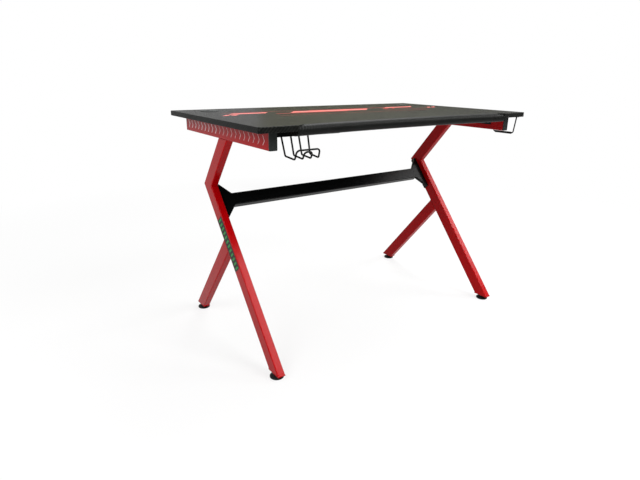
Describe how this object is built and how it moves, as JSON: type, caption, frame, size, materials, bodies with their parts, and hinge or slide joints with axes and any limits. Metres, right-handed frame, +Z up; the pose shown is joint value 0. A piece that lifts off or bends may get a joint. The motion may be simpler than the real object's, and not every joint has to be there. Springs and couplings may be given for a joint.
{
  "type": "gaming desk",
  "caption": "Gaming desk: black carbon-weave top with a rounded front, red slanted tube frames, black crossbar, gamepad rack and headphone hook",
  "frame": {"origin": "on the floor, under the middle of the desk top", "axes": "X to the right along the length of the desk, Y to the rear, Z up"},
  "size_m": [1.104, 0.6324, 0.7516],
  "materials": {
    "top_board": "satin carbon-weave film on fibreboard",
    "red_steel": "semi-gloss powder coat",
    "black_steel": "satin powder coat",
    "black_plastic": "fine moulded texture",
    "foot_plastic": "moulded",
    "black_rubber": "soft matte",
    "zinc_steel": "zinc plated"
  },
  "bodies": {
    "frame": {"board_screws": "zinc_steel", "bracket_bolts": "black_steel", "crossbar": "black_steel", "crossbar_screws": "black_steel", "desktop_board": "top_board", "hook_plate": "black_steel", "hook_screws": "zinc_steel", "hook_sleeve": "black_rubber", "hook_wire": "black_steel", "left_crossbar_bracket": "black_steel", "left_fixing_angle": "black_steel", "left_front_foot_plate": "red_steel", "left_grommet_liner": "black_plastic", "left_main_leg": "red_steel", "left_rail_front_cap": "black_plastic", "left_rail_rear_cap": "black_plastic", "left_rear_foot_plate": "red_steel", "left_rear_leg": "red_steel", "left_top_rail": "red_steel", "left_upper_arm": "red_steel", "rack_bracket": "black_steel", "rack_inner_wire": "black_steel", "rack_outer_wire": "black_steel", "rack_screws": "zinc_steel", "rail_bolts": "zinc_steel", "right_crossbar_bracket": "black_steel", "right_fixing_angle": "black_steel", "right_front_foot_plate": "red_steel", "right_grommet_liner": "black_plastic", "right_main_leg": "red_steel", "right_rail_front_cap": "black_plastic", "right_rail_rear_cap": "black_plastic", "right_rear_foot_plate": "red_steel", "right_rear_leg": "red_steel", "right_top_rail": "red_steel", "right_upper_arm": "red_steel"},
    "left_front_foot": {"left_front_levelling_foot": "foot_plastic"},
    "left_rear_foot": {"left_rear_levelling_foot": "foot_plastic"},
    "left_lid": {"left_grommet_lid": "black_plastic"},
    "right_front_foot": {"right_front_levelling_foot": "foot_plastic"},
    "right_rear_foot": {"right_rear_levelling_foot": "foot_plastic"},
    "right_lid": {"right_grommet_lid": "black_plastic"}
  },
  "joints": [
    {"name": "left_front_foot_height", "type": "slide", "parent": "frame", "child": "left_front_foot", "axis": [0, 0, -1], "range_m": [0, 0.01]},
    {"name": "left_rear_foot_height", "type": "slide", "parent": "frame", "child": "left_rear_foot", "axis": [0, 0, -1], "range_m": [0, 0.01]},
    {"name": "left_lid_turn", "type": "hinge", "parent": "frame", "child": "left_lid", "pos_m": [-0.448, 0.224, 0.75], "axis": [0, 0, 1], "continuous": true},
    {"name": "right_front_foot_height", "type": "slide", "parent": "frame", "child": "right_front_foot", "axis": [0, 0, -1], "range_m": [0, 0.01]},
    {"name": "right_rear_foot_height", "type": "slide", "parent": "frame", "child": "right_rear_foot", "axis": [0, 0, -1], "range_m": [0, 0.01]},
    {"name": "right_lid_turn", "type": "hinge", "parent": "frame", "child": "right_lid", "pos_m": [0.448, 0.224, 0.75], "axis": [0, 0, 1], "continuous": true}
  ]
}
